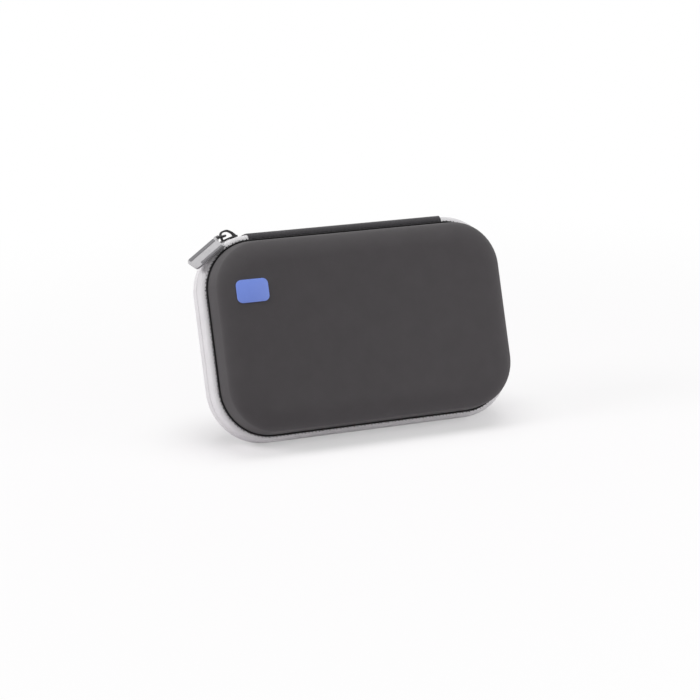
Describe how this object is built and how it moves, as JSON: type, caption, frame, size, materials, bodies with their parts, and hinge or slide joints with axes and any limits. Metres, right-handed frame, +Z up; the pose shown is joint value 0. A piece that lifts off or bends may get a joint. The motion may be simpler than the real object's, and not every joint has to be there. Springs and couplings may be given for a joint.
{
  "type": "zip-round carry case",
  "caption": "Moulded zip-round carry case standing closed on its long edge, with a folding spine, foam wells for instruments, a net pocket in the lid and a zip slider with a pull tab.",
  "frame": {"origin": "on the surface the case stands on, under the middle of its bounding box", "axes": "+Z up, +X along the long edge to the right as seen from the lid, +Y from the lid towards the base; the case leans back about 18 degrees"},
  "size_m": [0.2102, 0.094, 0.1336],
  "materials": {
    "shell_fabric": "matte",
    "lining": "matte",
    "seam_cord": "matte",
    "zip_tape": "matte",
    "zip_coil": "satin",
    "zip_stop": "satin",
    "foam": "matte",
    "spine_webbing": "matte",
    "net": "matte",
    "binding": "matte",
    "elastic": "matte",
    "label": "satin",
    "slider_metal": "satin",
    "tab": "matte",
    "tab_edge": "matte"
  },
  "bodies": {
    "base": {"base_shell": "shell_fabric", "base_lining": "lining", "base_seam_cord": "seam_cord", "base_zip_tape": "zip_tape", "base_zip_coil": "zip_coil", "base_zip_stops": "zip_stop", "foam_bed": "foam", "foam_insert": "foam", "spine_strip": "spine_webbing", "inner_spine_strip": "lining"},
    "lid": {"lid_shell": "shell_fabric", "lid_lining": "lining", "lid_seam_cord": "seam_cord", "lid_zip_tape": "zip_tape", "lid_zip_coil": "zip_coil", "lid_zip_stops": "zip_stop", "lid_pad": "foam", "pocket_net": "net", "pocket_binding": "binding", "pocket_elastic": "elastic", "blank_label": "label"},
    "slider": {"slider_body": "slider_metal", "slider_crown": "slider_metal"},
    "pull_link": {"pull_link": "slider_metal"},
    "pull_tab": {"pull_tab": "tab", "pull_tab_edges": "tab_edge"}
  },
  "joints": [
    {"name": "lid_hinge", "type": "hinge", "parent": "base", "child": "lid", "pos_m": [0.00245, 0.02098, 0.12838], "axis": [-1, 0, 0], "range_deg": [0, 180], "deforming": ["spine_strip", "inner_spine_strip"]},
    {"name": "slider_travel", "type": "hinge", "parent": "lid", "child": "slider", "pos_m": [-0.06456, 0.00961, 0.09412], "axis": [0, -0.9491, 0.315], "range_deg": [0, 56]},
    {"name": "pull_link_swing", "type": "hinge", "parent": "slider", "child": "pull_link", "pos_m": [-0.07751, 0.02126, 0.12923], "axis": [0, 0.9491, -0.315], "range_deg": [0, 100]},
    {"name": "pull_tab_swing", "type": "hinge", "parent": "pull_link", "child": "pull_tab", "pos_m": [-0.08276, 0.02103, 0.12853], "axis": [0, 0.9491, -0.315], "range_deg": [0, 70]}
  ],
  "couplings": [
    {"joint": "slider_travel", "follows": "lid_hinge", "ratio": 0.31111}
  ]
}
